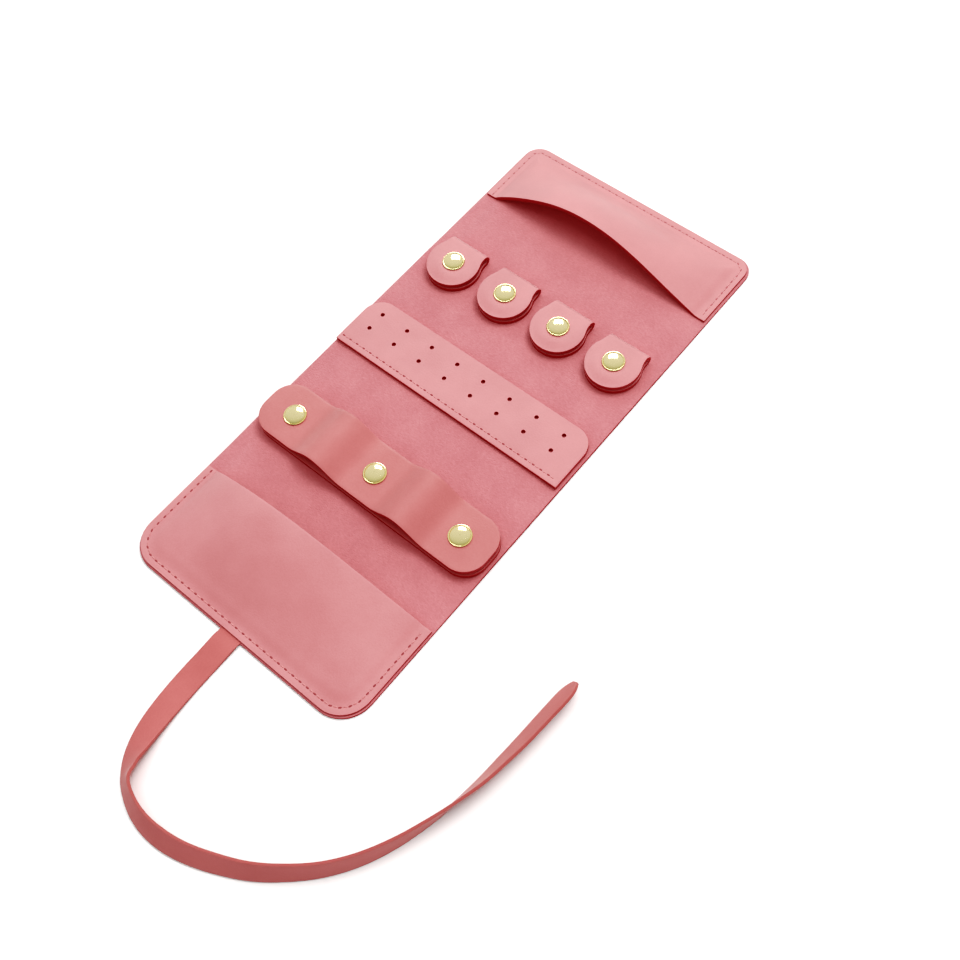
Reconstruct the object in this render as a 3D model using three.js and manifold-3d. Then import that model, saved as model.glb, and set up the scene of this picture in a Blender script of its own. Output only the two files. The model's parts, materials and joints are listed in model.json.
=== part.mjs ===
// A roll-up jewelry organiser, laid open: one long leather sheet with a sewn pocket at each end,
// a snap-down ring bar, a punched earring strip, four snap tabs for chains and a tie strap.
// Millimetres, +Z up. X runs across the sheet, Y along it from the strap end to the top end,
// and the origin is at the middle of the sheet's underside.
import * as THREE from 'three';
import { mergeVertices } from 'three/addons/utils/BufferGeometryUtils.js';
import Module from 'manifold-3d';

const wasm = await Module();
wasm.setup();

// Driving dimensions.
const LEATHER = 1.3; // thickness of every sewn leather piece
const LAYER_GAP = 0.2; // room between two leather layers that lie on each other
const CUT_GAP = 0.3; // room round a piece that sits in a cut made for it
const CREASE_GAP = 0.3; // slit between two stretches of the sheet at a fold

const SHEET = { width: 95, length: 205, strapEndCorner: 11, topEndCorner: 6 };

// What follows what along the sheet, from the strap end to the top end.
const LOWER_POCKET = { depth: 36.5, gape: 6.5, crest: 0.5, fullness: 0.9, bow: 1.5, inset: 0.6 };
const UPPER_POCKET = { depth: 29, gape: 10.5, crest: 0.44, fullness: 1.3, bow: -3.2, inset: 0.9 };
const RING_BAR = { width: 20, sideMargin: 0.9, corner: 8, snapInset: 11.6, arch: 4.6, flat: 6, root: 7 };
const EARRING_STRIP = { depth: 21.3, leftMargin: 0.5, rightMargin: 1, corner: 7, hem: 5 };
const TAB = { count: 4, length: 18.8, width: 18.8, neck: 15.4, foldWidth: 16.6, sideMargin: 4.1 };
// Bare stretches between them, which take up whatever length the pieces leave, in these proportions.
const BARE = { mouthToBar: 19.2, barToStrip: 21.5, stripToTabs: 15.4, tabsToMouth: 23.3 };
const SEAM = 4; // width of a pocket's sewn margin

// Folds: how far each lies from the piece next to it.
const FOLD = { pastLowerMouth: 8.3, beforeStrip: 5.5, beforeTabs: 2.1, beforeUpperMouth: 2 };

const EARRING_HOLE = { pairs: 8, pitch: 11.1, rowPitch: 6.7, radius: 0.7, fromHem: 4.5, shift: -1.4 };

// A snap fastener: a domed cap and a socket on the leaf, a stud riveted to the base.
const SNAP = {
  capRadius: 3.8, capHeight: 1.3, rim: 0.35, rimTuck: 0.2,
  barrelRadius: 1.0,
  socketRadius: 3.2, socketWall: 0.7, socketTop: 0.3, socketLip: 0.2,
  studRadius: 1.5, studNeck: 1.05, shoulderRadius: 2.7, plate: 0.3,
  flangeRadius: 3.6, shankRadius: 1.2,
  stack: 1.6,
};

const STRAP = { width: 8.3, thick: 0.9, tongue: 7.5, settle: 11, tipRadius: 6 };

// Route of the tie strap's lower edge on the table, from the middle of the sheet's strap end: x, y and
// the lean in degrees. At 0 it lies flat, at 90 it stands on its edge, past 90 it leans out of the loop.
const STRAP_ROUTE = [
  [-4.2, 0, 0], [-4.2, -8.1, 0], [-4.1, -16.6, 0], [-3.6, -25.2, 3], [-2.4, -33.7, 11], [0, -41.3, 25],
  [3.8, -47.4, 44], [8.9, -51.9, 60], [14.9, -54.8, 58], [21.5, -56.2, 56], [29, -56, 55], [37.2, -54, 58],
  [46.1, -50.3, 61], [55, -45.3, 66], [62.8, -39, 71], [69.7, -31.8, 76], [75.3, -23.5, 81], [79.5, -14.2, 87],
  [82.5, -4, 95], [84.2, 5.8, 106], [85.2, 14.2, 115], [85.7, 21.7, 120], [86.2, 29.5, 124], [86.6, 38.3, 126],
  [87, 45.4, 127], [87.4, 51.9, 126],
];

// Finishes.
const leather = new THREE.MeshStandardMaterial({ color: 0xdc8f8f, roughness: 0.8, metalness: 0 });
const brass = new THREE.MeshStandardMaterial({ color: 0xe6d27a, roughness: 0.22, metalness: 1 });
const steel = new THREE.MeshStandardMaterial({ color: 0xc2c4c6, roughness: 0.35, metalness: 1 });

// Places worked out from the driving dimensions.
const covered = LOWER_POCKET.depth + RING_BAR.width + EARRING_STRIP.depth + TAB.length + UPPER_POCKET.depth;
const bareAsDrawn = BARE.mouthToBar + BARE.barToStrip + BARE.stripToTabs + BARE.tabsToMouth;
const spread = (SHEET.length - covered) / bareAsDrawn;
const half = SHEET.width / 2;
const strapEnd = -SHEET.length / 2;
const lowerMouth = strapEnd + LOWER_POCKET.depth;
const barLow = lowerMouth + spread * BARE.mouthToBar;
const barHigh = barLow + RING_BAR.width;
const stripLow = barHigh + spread * BARE.barToStrip;
const stripHigh = stripLow + EARRING_STRIP.depth;
const tabLow = stripHigh + spread * BARE.stripToTabs;
const tabFold = tabLow + TAB.length;
const upperMouth = tabFold + spread * BARE.tabsToMouth;
const topEnd = upperMouth + UPPER_POCKET.depth;

const layerLow = LEATHER + LAYER_GAP; // underside of whatever is sewn on the sheet
const layerHigh = layerLow + LEATHER;
const leafLow = layerHigh + SNAP.stack; // underside of a snapped-down leaf
const leafHigh = leafLow + LEATHER;

const barHalf = half - RING_BAR.sideMargin;
const barSnapX = barHalf - RING_BAR.snapInset;
const barMiddle = (barLow + barHigh) / 2;
const tabRadius = TAB.width / 2;
const tabSnapY = tabLow + tabRadius;
const tabPitch = (SHEET.width - 2 * TAB.sideMargin - TAB.width) / (TAB.count - 1);
const tabX = Array.from({ length: TAB.count }, (_, i) => (i - (TAB.count - 1) / 2) * tabPitch);

// Solids: joins and cuts.
function solid(geometry) {
  const bare = geometry.clone();
  bare.deleteAttribute('normal');
  bare.deleteAttribute('uv');
  const merged = mergeVertices(bare, 1e-5);
  return new wasm.Manifold(new wasm.Mesh({
    numProp: 3,
    vertProperties: new Float32Array(merged.attributes.position.array),
    triVerts: new Uint32Array(merged.index.array),
  }));
}

function geometryOf(manifold) {
  const mesh = manifold.getMesh();
  const geometry = new THREE.BufferGeometry();
  geometry.setAttribute('position', new THREE.BufferAttribute(mesh.vertProperties.slice(), 3));
  geometry.setIndex(new THREE.BufferAttribute(mesh.triVerts.slice(), 1));
  geometry.computeVertexNormals();
  return geometry;
}

function cut(geometry, ...tools) {
  return geometryOf(tools.reduce((left, tool) => left.subtract(solid(tool)), solid(geometry)));
}

function common(geometry, other) {
  return geometryOf(solid(geometry).intersect(solid(other)));
}

// An outline with its own radius at each corner: low-left, low-right, high-right, high-left.
function roundedOutline(x0, x1, y0, y1, [ll, lr, hr, hl]) {
  const shape = new THREE.Shape();
  shape.moveTo(x0 + ll, y0);
  shape.lineTo(x1 - lr, y0);
  if (lr) shape.absarc(x1 - lr, y0 + lr, lr, -Math.PI / 2, 0, false);
  shape.lineTo(x1, y1 - hr);
  if (hr) shape.absarc(x1 - hr, y1 - hr, hr, 0, Math.PI / 2, false);
  shape.lineTo(x0 + hl, y1);
  if (hl) shape.absarc(x0 + hl, y1 - hl, hl, Math.PI / 2, Math.PI, false);
  shape.lineTo(x0, y0 + ll);
  if (ll) shape.absarc(x0 + ll, y0 + ll, ll, Math.PI, 1.5 * Math.PI, false);
  return shape;
}

function plate(outline, z, thick = LEATHER) {
  const geometry = new THREE.ExtrudeGeometry(outline, { depth: thick, bevelEnabled: false, curveSegments: 8 });
  return geometry.translate(0, 0, z);
}

// A side view drawn in Y and Z, run across from x0 to x1.
function runAcross(outline, x0, x1) {
  const geometry = new THREE.ExtrudeGeometry(outline, { depth: x1 - x0, bevelEnabled: false, curveSegments: 6 });
  const axes = new THREE.Matrix4().set(0, 0, 1, x0, 1, 0, 0, 0, 0, 1, 0, 0, 0, 0, 0, 1);
  return geometry.applyMatrix4(axes);
}

// A side view drawn in X and Z, run along from y0 to y1.
function runAlong(outline, y0, y1) {
  const geometry = new THREE.ExtrudeGeometry(outline, { depth: y1 - y0, bevelEnabled: false, curveSegments: 6 });
  const axes = new THREE.Matrix4().set(1, 0, 0, 0, 0, 0, -1, y1, 0, 1, 0, 0, 0, 0, 0, 1);
  return geometry.applyMatrix4(axes);
}

function disc(x, y, radius, z0, z1, sides = 14) {
  const geometry = new THREE.CylinderGeometry(radius, radius, z1 - z0, sides);
  return geometry.rotateX(Math.PI / 2).translate(x, y, (z0 + z1) / 2);
}

function block(x0, x1, y0, y1, z0, z1) {
  const geometry = new THREE.BoxGeometry(x1 - x0, y1 - y0, z1 - z0);
  return geometry.translate((x0 + x1) / 2, (y0 + y1) / 2, (z0 + z1) / 2);
}

// A turned piece: pairs of radius and height from the axis back to the axis, standing at x, y.
function turned(profile, x, y, sides) {
  const points = profile.map(([r, z]) => new THREE.Vector2(r, z));
  return new THREE.LatheGeometry(points, sides).rotateX(Math.PI / 2).translate(x, y, 0);
}

// Rows of points on both faces of a bent sheet, closed round its edge into one solid.
function shell(upper, lower) {
  const rows = upper.length;
  const columns = upper[0].length;
  const points = [...upper.flat(), ...lower.flat()];
  const up = (i, j) => i * columns + j;
  const down = (i, j) => rows * columns + up(i, j);
  const faces = [];
  const quad = (a, b, c, d) => faces.push(a, b, c, a, c, d);
  for (let i = 0; i + 1 < rows; i += 1) {
    for (let j = 0; j + 1 < columns; j += 1) {
      quad(up(i, j), up(i, j + 1), up(i + 1, j + 1), up(i + 1, j));
      quad(down(i, j), down(i + 1, j), down(i + 1, j + 1), down(i, j + 1));
    }
    quad(up(i, 0), up(i + 1, 0), down(i + 1, 0), down(i, 0));
    quad(up(i, columns - 1), down(i, columns - 1), down(i + 1, columns - 1), up(i + 1, columns - 1));
  }
  for (let j = 0; j + 1 < columns; j += 1) {
    quad(up(0, j), down(0, j), down(0, j + 1), up(0, j + 1));
    quad(up(rows - 1, j), up(rows - 1, j + 1), down(rows - 1, j + 1), down(rows - 1, j));
  }
  const geometry = new THREE.BufferGeometry();
  geometry.setAttribute('position', new THREE.Float32BufferAttribute(points.flat(), 3));
  geometry.setIndex(faces);
  const outward = solid(geometry).volume() > 0;
  if (!outward) {
    for (let k = 0; k < faces.length; k += 3) [faces[k], faces[k + 1]] = [faces[k + 1], faces[k]];
    geometry.setIndex(faces);
  }
  geometry.computeVertexNormals();
  return geometry;
}

const group = new THREE.Group();

function add(name, geometry, material) {
  const mesh = new THREE.Mesh(geometry, material);
  mesh.name = name;
  group.add(mesh);
}

// The tie strap: a ribbon whose lower edge follows the route, with its tongue sewn in at the strap end.
const strapMid = LEATHER + LAYER_GAP / 2;

function tieStrap() {
  const tongueEnd = [STRAP_ROUTE[0][0], STRAP.tongue, 0];
  const marks = [tongueEnd, ...STRAP_ROUTE].map(([x, y, lean]) => new THREE.Vector3(x, strapEnd + y, lean));
  const curve = new THREE.CatmullRomCurve3(marks, false, 'centripetal');
  const steps = 2 * (marks.length - 1);
  const samples = Array.from({ length: steps + 1 }, (_, k) => curve.getPoint(k / steps));
  const ground = samples.map((p) => new THREE.Vector2(p.x, p.y));
  const run = [0];
  for (let k = 1; k <= steps; k += 1) run.push(run[k - 1] + ground[k].distanceTo(ground[k - 1]));
  const upper = [];
  const lower = [];
  samples.forEach((p, k) => {
    const ahead = ground[Math.min(k + 1, steps)].clone().sub(ground[Math.max(k - 1, 0)]).normalize();
    const lean = THREE.MathUtils.degToRad(p.z);
    const across = new THREE.Vector3(-ahead.y * Math.cos(lean), ahead.x * Math.cos(lean), Math.sin(lean));
    const face = new THREE.Vector3(ahead.y * Math.sin(lean), -ahead.x * Math.sin(lean), Math.cos(lean));
    const rest = Math.abs(Math.cos(lean)) * STRAP.thick / 2;
    const settled = THREE.MathUtils.smoothstep(strapEnd - p.y, 0, STRAP.settle);
    const height = run[k] < STRAP.tongue + 2 * STRAP.settle ? rest + (strapMid - rest) * (1 - settled) : rest;
    const toTip = (run[steps] - run[k]) / STRAP.tipRadius;
    const share = toTip < 1 ? Math.max(0.3, Math.sqrt(1 - (1 - toTip) ** 2)) : 1;
    const middle = new THREE.Vector3(p.x, p.y, height).addScaledVector(across, STRAP.width / 2);
    const corner = (side, up) => middle.clone()
      .addScaledVector(across, side * share * STRAP.width / 2)
      .addScaledVector(face, up * STRAP.thick / 2).toArray();
    upper.push([corner(-1, 1), corner(1, 1)]);
    lower.push([corner(-1, -1), corner(1, -1)]);
  });
  return shell(upper, lower);
}

const strapCut = block(
  STRAP_ROUTE[0][0] - CUT_GAP, STRAP_ROUTE[0][0] + STRAP.width + CUT_GAP,
  strapEnd - 1, strapEnd + STRAP.tongue + CUT_GAP,
  strapMid - STRAP.thick / 2 - CUT_GAP, strapMid + STRAP.thick / 2 + CUT_GAP,
);
add('tie_strap', tieStrap(), leather);

// The sheet, in the five stretches that its folds leave.
const folds = [
  lowerMouth + FOLD.pastLowerMouth, stripLow - FOLD.beforeStrip,
  tabLow - FOLD.beforeTabs, upperMouth - FOLD.beforeUpperMouth,
];
const sheetStretch = (from, to, corners) => plate(roundedOutline(-half, half, from, to, corners), 0);
const afterFold = folds.map((y) => y + CREASE_GAP / 2);
const beforeFold = folds.map((y) => y - CREASE_GAP / 2);

const strapEndCorners = [SHEET.strapEndCorner, SHEET.strapEndCorner, 0, 0];
const topEndCorners = [0, 0, SHEET.topEndCorner, SHEET.topEndCorner];
add('sheet_strap_end', cut(sheetStretch(strapEnd, beforeFold[0], strapEndCorners), strapCut), leather);
add('sheet_rings', sheetStretch(afterFold[0], beforeFold[1], [0, 0, 0, 0]), leather);
add('sheet_earrings', sheetStretch(afterFold[1], beforeFold[2], [0, 0, 0, 0]), leather);

const rivetCuts = tabX.flatMap((x) => [
  disc(x, tabSnapY, SNAP.flangeRadius + CUT_GAP, -1, SNAP.plate + CUT_GAP),
  disc(x, tabSnapY, SNAP.shankRadius + CUT_GAP, -1, LEATHER + 1),
]);
add('sheet_chains', cut(sheetStretch(afterFold[2], beforeFold[3], [0, 0, 0, 0]), ...rivetCuts), leather);
add('sheet_top_end', sheetStretch(afterFold[3], topEnd, topEndCorners), leather);

// A pocket front: sewn round three sides, its mouth lifted off the sheet.
function pocketFront(pocket, end, towards, sheetCorner) {
  const wide = half - pocket.inset;
  const corner = sheetCorner - pocket.inset;
  const reach = [0, 0.08, 0.28, 0.6, 1].map((k) => k * corner);
  const rowsLeft = 7;
  for (let k = 1; k <= rowsLeft; k += 1) reach.push(corner + (pocket.depth - corner) * (k / rowsLeft));
  const columns = 20;
  const inner = wide - SEAM;
  const skew = Math.log(0.5) / Math.log(pocket.crest);
  const swell = (x) => {
    const share = (x + inner) / (2 * inner);
    return share <= 0 || share >= 1 ? 0 : Math.sin(Math.PI * share ** skew) ** pocket.fullness;
  };
  const face = (z) => reach.map((s) => {
    const shortfall = Math.max(0, corner - s);
    const reachX = wide - corner + Math.sqrt(corner ** 2 - shortfall ** 2);
    const rise = Math.sin(Math.PI / 2 * Math.max(0, (s - SEAM) / (pocket.depth - SEAM)));
    return Array.from({ length: columns + 1 }, (_, j) => {
      const x = reachX * (2 * j / columns - 1);
      const along = s + pocket.bow * swell(x) * (s / pocket.depth) ** 2;
      const fromEnd = pocket.inset + along * (1 - pocket.inset / pocket.depth);
      return [x, end + towards * fromEnd, z + pocket.gape * swell(x) * rise];
    });
  });
  return shell(face(layerHigh), face(layerLow));
}

add('lower_pocket', cut(pocketFront(LOWER_POCKET, strapEnd, 1, SHEET.strapEndCorner), strapCut), leather);
add('upper_pocket', pocketFront(UPPER_POCKET, topEnd, -1, SHEET.topEndCorner), leather);

// Snap fasteners. The cap's barrel holds the leaf to the socket, and the stud stands up into the socket.
function snap(name, x, y, flangeLow) {
  const dome = Array.from({ length: 5 }, (_, k) => {
    const turn = (k / 4) * Math.PI / 2;
    const rise = SNAP.rim + (SNAP.capHeight - SNAP.rim) * Math.sin(turn);
    return [SNAP.capRadius * Math.cos(turn), leafHigh + rise];
  });
  dome[4][0] = 0;
  const seat = leafHigh + LAYER_GAP / 2;
  add(`${name}_cap`, turned([
    [0, leafLow], [SNAP.barrelRadius, leafLow], [SNAP.barrelRadius, seat],
    [SNAP.capRadius - SNAP.rimTuck, seat], ...dome,
  ], x, y, 16), brass);
  const socketHigh = leafLow - LAYER_GAP / 2;
  const socketLow = layerHigh + SNAP.plate + SNAP.socketLip;
  const bore = SNAP.socketRadius - SNAP.socketWall;
  add(`${name}_socket`, turned([
    [0, socketHigh - SNAP.socketTop], [bore, socketHigh - SNAP.socketTop], [bore, socketLow],
    [SNAP.socketRadius, socketLow], [SNAP.socketRadius, socketHigh], [0, socketHigh],
  ], x, y, 12), steel);
  const shoulder = layerHigh + LAYER_GAP / 2;
  const studHigh = socketHigh - SNAP.socketTop - LAYER_GAP;
  const ballLow = studHigh - (studHigh - shoulder - SNAP.plate) * 0.6;
  add(`${name}_stud`, turned([
    [0, flangeLow], [SNAP.flangeRadius, flangeLow], [SNAP.flangeRadius, flangeLow + SNAP.plate],
    [SNAP.shankRadius, flangeLow + SNAP.plate], [SNAP.shankRadius, shoulder],
    [SNAP.shoulderRadius, shoulder], [SNAP.shoulderRadius, shoulder + SNAP.plate],
    [SNAP.studNeck, shoulder + SNAP.plate], [SNAP.studRadius, ballLow],
    [SNAP.studRadius - SNAP.rimTuck, studHigh], [0, studHigh],
  ], x, y, 12), steel);
}

const leafHole = (x, y) => disc(x, y, SNAP.barrelRadius + LAYER_GAP, leafLow - 1, leafHigh + 1, 12);
const baseHole = (x, y) => disc(x, y, SNAP.shankRadius + LAYER_GAP, layerLow - 1, layerHigh + 1, 12);

// The ring bar: a base strip sewn to the sheet, and a strap over it that arches between its snaps.
const barSnaps = { left: -barSnapX, middle: 0, right: barSnapX };
const barOutline = roundedOutline(-barHalf, barHalf, barLow, barHigh, Array(4).fill(RING_BAR.corner));
const flangeHigh = layerLow + SNAP.plate + CUT_GAP;
const flangeCut = (x) => disc(x, barMiddle, SNAP.flangeRadius + CUT_GAP, layerLow - 1, flangeHigh);
const baseCuts = Object.values(barSnaps).flatMap((x) => [flangeCut(x), baseHole(x, barMiddle)]);
add('ring_bar_base', cut(plate(barOutline, layerLow), ...baseCuts), leather);

function ringStrap(x0, x1) {
  const steps = 18;
  const archFrom = RING_BAR.flat;
  const archTo = barSnapX - RING_BAR.flat;
  const lift = (x) => {
    const share = (Math.abs(x) - archFrom) / (archTo - archFrom);
    return share <= 0 || share >= 1 ? 0 : RING_BAR.arch * Math.sin(Math.PI * share) ** 2;
  };
  const xs = Array.from({ length: steps + 1 }, (_, k) => x0 + (x1 - x0) * (k / steps));
  const side = [
    ...xs.map((x) => new THREE.Vector2(x, leafLow + lift(x))),
    ...xs.map((x) => new THREE.Vector2(x, leafHigh + lift(x))).reverse(),
  ];
  const whole = runAlong(new THREE.Shape(side), barLow, barHigh);
  const trimmed = common(whole, plate(barOutline, leafLow - 1, leafHigh + RING_BAR.arch));
  const holes = Object.values(barSnaps).filter((x) => x > x0 && x < x1).map((x) => leafHole(x, barMiddle));
  return cut(trimmed, ...holes);
}

add('ring_strap_middle', ringStrap(-RING_BAR.root + CREASE_GAP / 2, RING_BAR.root - CREASE_GAP / 2), leather);
add('ring_strap_left', ringStrap(-barHalf, -RING_BAR.root - CREASE_GAP / 2), leather);
add('ring_strap_right', ringStrap(RING_BAR.root + CREASE_GAP / 2, barHalf), leather);
for (const [side, x] of Object.entries(barSnaps)) {
  snap(`ring_snap_${side}`, x, barMiddle, layerLow + LAYER_GAP / 2);
}

// The earring strip: a sewn hem, and a flap with pairs of punched holes that lifts on it.
const stripLeft = -half + EARRING_STRIP.leftMargin;
const stripRight = half - EARRING_STRIP.rightMargin;
const hemHigh = stripLow + EARRING_STRIP.hem;
const hemOutline = roundedOutline(stripLeft, stripRight, stripLow, hemHigh - CREASE_GAP / 2, [0, 0, 0, 0]);
add('earring_hem', plate(hemOutline, layerLow), leather);
const flapCorners = [0, 0, EARRING_STRIP.corner, EARRING_STRIP.corner];
const flapOutline = roundedOutline(stripLeft, stripRight, hemHigh + CREASE_GAP / 2, stripHigh, flapCorners);
const holeMiddle = (stripLeft + stripRight) / 2 + EARRING_HOLE.shift;
for (let pair = 0; pair < EARRING_HOLE.pairs; pair += 1) {
  for (let row = 0; row < 2; row += 1) {
    const x = holeMiddle + (pair - (EARRING_HOLE.pairs - 1) / 2) * EARRING_HOLE.pitch;
    const y = hemHigh + EARRING_HOLE.fromHem + row * EARRING_HOLE.rowPitch;
    const round = new THREE.EllipseCurve(x, y, EARRING_HOLE.radius, EARRING_HOLE.radius);
    flapOutline.holes.push(new THREE.Path(round.getPoints(8).slice(1)));
  }
}
add('earring_flap', plate(flapOutline, layerLow), leather);

// Chain tabs: a strip folded over itself, its lower leaf riveted to the sheet, its upper leaf snapped down.
function tabProfile(upperLeaf) {
  const outer = (leafHigh - layerLow) / 2;
  const inner = outer - LEATHER;
  const y = tabFold - outer;
  const z = (leafHigh + layerLow) / 2;
  const turn = upperLeaf ? 1 : -1;
  const split = upperLeaf ? Math.asin(CREASE_GAP / 2 / inner) : -Math.asin(CREASE_GAP / 2 / inner);
  const shape = new THREE.Shape();
  shape.moveTo(tabLow, z + turn * outer);
  shape.lineTo(y, z + turn * outer);
  shape.absarc(y, z, outer, turn * Math.PI / 2, split, upperLeaf);
  shape.absarc(y, z, inner, split, turn * Math.PI / 2, !upperLeaf);
  shape.lineTo(tabLow, z + turn * inner);
  return shape;
}

// From above: round about the snap, drawn in to a neck, then flared out to the fold.
function tabOutline(x) {
  const neckTurn = Math.acos(Math.min(1, TAB.neck / TAB.width));
  const shape = new THREE.Shape();
  shape.absarc(x, tabSnapY, tabRadius, Math.PI - neckTurn, 1.5 * Math.PI, false);
  shape.absarc(x, tabSnapY, tabRadius, 1.5 * Math.PI, 2 * Math.PI + neckTurn, false);
  shape.lineTo(x + TAB.foldWidth / 2, tabFold + 1);
  shape.lineTo(x - TAB.foldWidth / 2, tabFold + 1);
  return shape;
}

tabX.forEach((x, i) => {
  const name = `chain_tab_${i + 1}`;
  const trim = plate(tabOutline(x), layerLow - 1, leafHigh + 2);
  const leaf = (upperLeaf) => common(runAcross(tabProfile(upperLeaf), x - tabRadius, x + tabRadius), trim);
  add(`${name}_base`, cut(leaf(false), baseHole(x, tabSnapY)), leather);
  add(`${name}_leaf`, cut(leaf(true), leafHole(x, tabSnapY)), leather);
  snap(`chain_snap_${i + 1}`, x, tabSnapY, LAYER_GAP / 2);
});

export default group;
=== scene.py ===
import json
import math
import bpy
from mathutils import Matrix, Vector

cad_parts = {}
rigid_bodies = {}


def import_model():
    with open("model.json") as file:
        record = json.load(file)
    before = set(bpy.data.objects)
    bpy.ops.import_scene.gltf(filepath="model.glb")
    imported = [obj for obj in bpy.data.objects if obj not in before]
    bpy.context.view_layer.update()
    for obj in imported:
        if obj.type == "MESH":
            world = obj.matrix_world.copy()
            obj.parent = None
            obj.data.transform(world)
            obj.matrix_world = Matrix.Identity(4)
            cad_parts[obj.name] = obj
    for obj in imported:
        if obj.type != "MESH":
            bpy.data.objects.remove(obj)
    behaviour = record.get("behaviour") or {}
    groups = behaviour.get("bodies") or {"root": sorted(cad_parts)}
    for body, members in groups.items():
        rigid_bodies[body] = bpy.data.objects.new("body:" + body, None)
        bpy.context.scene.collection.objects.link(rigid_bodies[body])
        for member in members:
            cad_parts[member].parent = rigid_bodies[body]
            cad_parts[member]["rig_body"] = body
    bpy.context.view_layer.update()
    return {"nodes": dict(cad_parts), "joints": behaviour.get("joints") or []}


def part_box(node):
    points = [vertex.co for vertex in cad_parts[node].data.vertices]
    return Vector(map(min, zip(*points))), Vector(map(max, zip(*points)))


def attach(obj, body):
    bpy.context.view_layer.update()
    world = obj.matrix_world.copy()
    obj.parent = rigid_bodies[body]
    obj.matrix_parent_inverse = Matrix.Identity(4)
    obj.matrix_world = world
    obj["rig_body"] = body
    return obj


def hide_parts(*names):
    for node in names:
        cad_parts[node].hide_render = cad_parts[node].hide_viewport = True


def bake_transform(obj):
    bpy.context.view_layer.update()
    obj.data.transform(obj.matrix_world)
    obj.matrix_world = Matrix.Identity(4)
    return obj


bl_info = {
    "name": "Jewelry roll",
    "version": (1, 0, 0),
    "blender": (4, 5, 0),
    "location": "View3D > Sidebar > Jewelry roll",
    "description": "Leather, thread and snap fasteners for an opened jewelry roll",
    "category": "Object",
}

import bpy
from mathutils import Matrix, Vector, noise

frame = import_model()
MM = 0.001


def linear(code):
    """An sRGB hex colour as linear red, green and blue."""
    shares = [int(code[k:k + 2], 16) / 255 for k in (1, 3, 5)]
    return [s / 12.92 if s <= 0.04045 else ((s + 0.055) / 1.055) ** 2.4 for s in shares]


def span(node):
    """A CAD node's lowest and highest corner, in millimetres."""
    low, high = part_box(node)
    return low / MM, high / MM


def centre_of(node):
    """The middle of a CAD node's box from above: x and y, in millimetres."""
    low, high = span(node)
    return (low.x + high.x) / 2, (low.y + high.y) / 2


def length(name, description, millimetres):
    """A size in metres that shows as a length."""
    return bpy.props.FloatProperty(
        name=name, description=description, default=millimetres * MM, precision=5,
        unit="LENGTH", subtype="DISTANCE",
    )


def number(name, description, value):
    """A plain number."""
    return bpy.props.FloatProperty(name=name, description=description, default=value)


def colour(name, description, code):
    """A colour given as an sRGB hex value."""
    return bpy.props.FloatVectorProperty(
        name=name, description=description, default=linear(code), subtype="COLOR", size=3, min=0.0, max=1.0
    )


class RollSizes(bpy.types.PropertyGroup):
    """Sizes of the leather and of the sewing."""

    leather: length("Leather", "Thickness of every leather piece", span("sheet_rings")[1].z)
    edge_round: length("Edge rounding", "Radius that a cut edge wears to", 0.22)
    strap_end_corner: length("Strap end corner", "Corner radius of the sheet at the strap end", 11)
    top_end_corner: length("Top end corner", "Corner radius of the sheet at the top end", 6)
    seam: length("Pocket seam", "Sewn margin that stays flat round a pocket", 4)
    bar_corner: length("Ring bar corner", "Corner radius of the ring bar", 8)
    bar_arch: length("Ring bar arch", "How high the ring strap arches between its snaps", 4.6)
    strip_corner: length("Earring strip corner", "Corner radius of the earring strip", 7)
    ear_hole: length("Earring hole", "Radius of a punched earring hole", 0.7)
    stitch_pitch: length("Stitch pitch", "Distance from one needle hole to the next", 3.0)
    stitch_inset: length("Stitch inset", "Distance of a seam from the cut edge", 2.4)
    thread: length("Thread", "Thickness of the sewing thread", 0.5)
    strap_width: length("Strap width", "Width of the tie strap", 8.3)
    strap_thick: length("Strap thickness", "Thickness of the tie strap", 0.9)
    tab_neck: length("Tab neck", "Width of a chain tab where it is narrowest", 15.4)
    tab_fold: length("Tab fold", "Width of a chain tab at its fold", 16.6)
    tab_sag: length("Tab sag", "How far a chain tab's upper rim sinks round its snap", 0.8)


class LowerPocketShape(bpy.types.PropertyGroup):
    """How the pocket at the strap end stands open."""

    gape: length("Gape", "How far the mouth lifts", 7.5)
    bow: length("Bow", "How far the mouth bows out at its middle", -0.35)
    slant: length("Slant", "How much deeper the pocket is on its right", 1.75)
    inset: length("Inset", "How far the front stays inside the sheet's edge", 0.6)
    stitch_inset: length("Stitch inset", "Distance of the seam from the cut edge", 2.2)
    crest: number("Crest", "Where the lift is highest, as a share of the width", 0.41)
    fullness: number("Fullness", "How broad the lift is, lower is broader", 1.45)


class UpperPocketShape(bpy.types.PropertyGroup):
    """How the pocket at the top end stands open."""

    gape: length("Gape", "How far the mouth lifts", 10.5)
    bow: length("Bow", "How far the mouth bows out at its middle", -3.2)
    slant: length("Slant", "How much deeper the pocket is on its right", 0.0)
    inset: length("Inset", "How far the front stays inside the sheet's edge", 0.9)
    stitch_inset: length("Stitch inset", "Distance of the seam from the cut edge", 1.9)
    crest: number("Crest", "Where the lift is highest, as a share of the width", 0.44)
    fullness: number("Fullness", "How broad the lift is, lower is broader", 1.3)


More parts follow.
